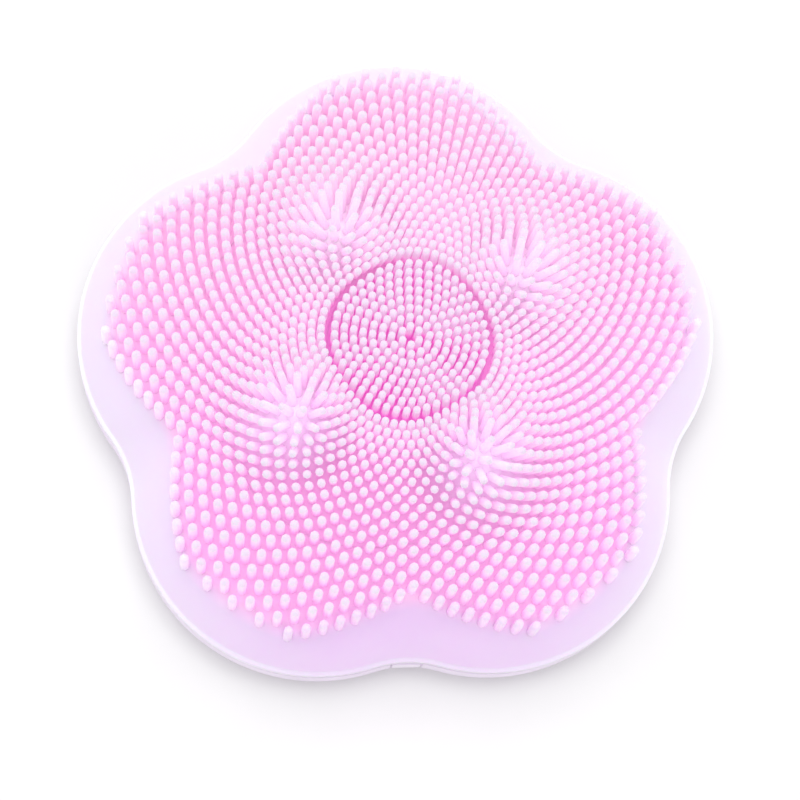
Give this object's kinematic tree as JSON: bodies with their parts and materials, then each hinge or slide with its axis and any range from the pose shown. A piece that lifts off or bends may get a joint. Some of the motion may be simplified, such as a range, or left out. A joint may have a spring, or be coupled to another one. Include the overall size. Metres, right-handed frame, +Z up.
{
  "type": "facial cleansing brush",
  "caption": "Palm-size facial cleansing brush: a domed petal-shaped soft bristle face over a motor-driven turntable of massage balls",
  "frame": {"origin": "on the turntable's axis, on the flat back face that rests on the table", "axes": "+Z up through the dome along the turntable's axis, -Y towards the charging port in the front valley, +X to the right of someone facing the port's side from the front"},
  "size_m": [0.0818, 0.0801, 0.0294],
  "materials": {
    "lilac_silicone": "satin translucent silicone",
    "blush_silicone": "satin translucent silicone",
    "lilac_plastic": "soft-touch moulded",
    "milk_rubber": "satin",
    "ivory_plastic": "moulded",
    "gear_plastic": "natural acetal",
    "steel": "plain",
    "ball_steel": "polished",
    "bronze": "sintered",
    "battery_wrap": "foil pouch",
    "tape": "foam tape",
    "red_wire": "insulated",
    "blue_wire": "insulated",
    "board_green": "solder mask",
    "chip_black": "moulded",
    "clear_plastic": "frosted",
    "dark_rubber": "o-ring"
  },
  "bodies": {
    "housing": {"back_shell": "lilac_plastic", "silicone_face": "lilac_silicone", "massage_membrane": "blush_silicone", "centre_bristles": "blush_silicone", "face_frame": "ivory_plastic", "rim_seal": "milk_rubber", "screw_plugs": "milk_rubber", "case_screws": "steel", "chassis": "ivory_plastic", "chassis_screws": "steel", "centre_post": "steel", "thrust_washer": "bronze", "retaining_clip": "steel", "centre_cap": "ivory_plastic", "idler_pin": "steel", "motor": "steel", "motor_screws": "steel", "battery": "battery_wrap", "battery_tape": "tape", "battery_leads": "red_wire", "motor_leads": "blue_wire", "circuit_board": "board_green", "board_parts": "chip_black", "board_screws": "steel", "tact_switch": "chip_black", "status_led": "clear_plastic", "charging_jack": "chip_black", "light_window": "clear_plastic"},
    "turntable": {"turntable": "ivory_plastic", "turntable_gear": "gear_plastic", "turntable_bush": "bronze"},
    "ball_1": {"massage_ball_1": "ball_steel"},
    "ball_2": {"massage_ball_2": "ball_steel"},
    "ball_3": {"massage_ball_3": "ball_steel"},
    "ball_4": {"massage_ball_4": "ball_steel"},
    "idler": {"idler_gear": "gear_plastic"},
    "motor_rotor": {"motor_shaft": "steel", "pinion": "gear_plastic"},
    "button": {"power_button": "milk_rubber", "button_seal": "dark_rubber"},
    "plug": {"port_plug": "milk_rubber"}
  },
  "joints": [
    {"name": "turntable_spin", "type": "hinge", "parent": "housing", "child": "turntable", "pos_m": [0, 0, 0.0136], "axis": [0, 0, 1], "continuous": true, "deforming": ["massage_membrane"]},
    {"name": "ball_roll_1", "type": "hinge", "parent": "turntable", "child": "ball_1", "pos_m": [0.0134, 0.00805, 0.01866], "axis": [0.8572, 0.515, 0], "continuous": true},
    {"name": "ball_roll_2", "type": "hinge", "parent": "turntable", "child": "ball_2", "pos_m": [-0.00805, 0.0134, 0.01866], "axis": [-0.515, 0.8572, 0], "continuous": true},
    {"name": "ball_roll_3", "type": "hinge", "parent": "turntable", "child": "ball_3", "pos_m": [-0.0134, -0.00805, 0.01866], "axis": [-0.8572, -0.515, 0], "continuous": true},
    {"name": "ball_roll_4", "type": "hinge", "parent": "turntable", "child": "ball_4", "pos_m": [0.00805, -0.0134, 0.01866], "axis": [0.515, -0.8572, 0], "continuous": true},
    {"name": "idler_spin", "type": "hinge", "parent": "housing", "child": "idler", "pos_m": [-0.01299, 0.0075, 0.0122], "axis": [0, 0, 1], "continuous": true},
    {"name": "pinion_spin", "type": "hinge", "parent": "housing", "child": "motor_rotor", "pos_m": [-0.00669, 0.01841, 0.0116], "axis": [0, 0, 1], "continuous": true},
    {"name": "button_press", "type": "slide", "parent": "housing", "child": "button", "axis": [0, 0, 1], "range_m": [0, 0.0005], "stiffness_N_per_m": 600, "springref_m": -0.001},
    {"name": "plug_pull", "type": "slide", "parent": "housing", "child": "plug", "axis": [0, -1, 0], "range_m": [0, 0.009]}
  ],
  "couplings": [
    {"joint": "idler_spin", "follows": "turntable_spin", "ratio": -4},
    {"joint": "pinion_spin", "follows": "turntable_spin", "ratio": 12.8}
  ]
}
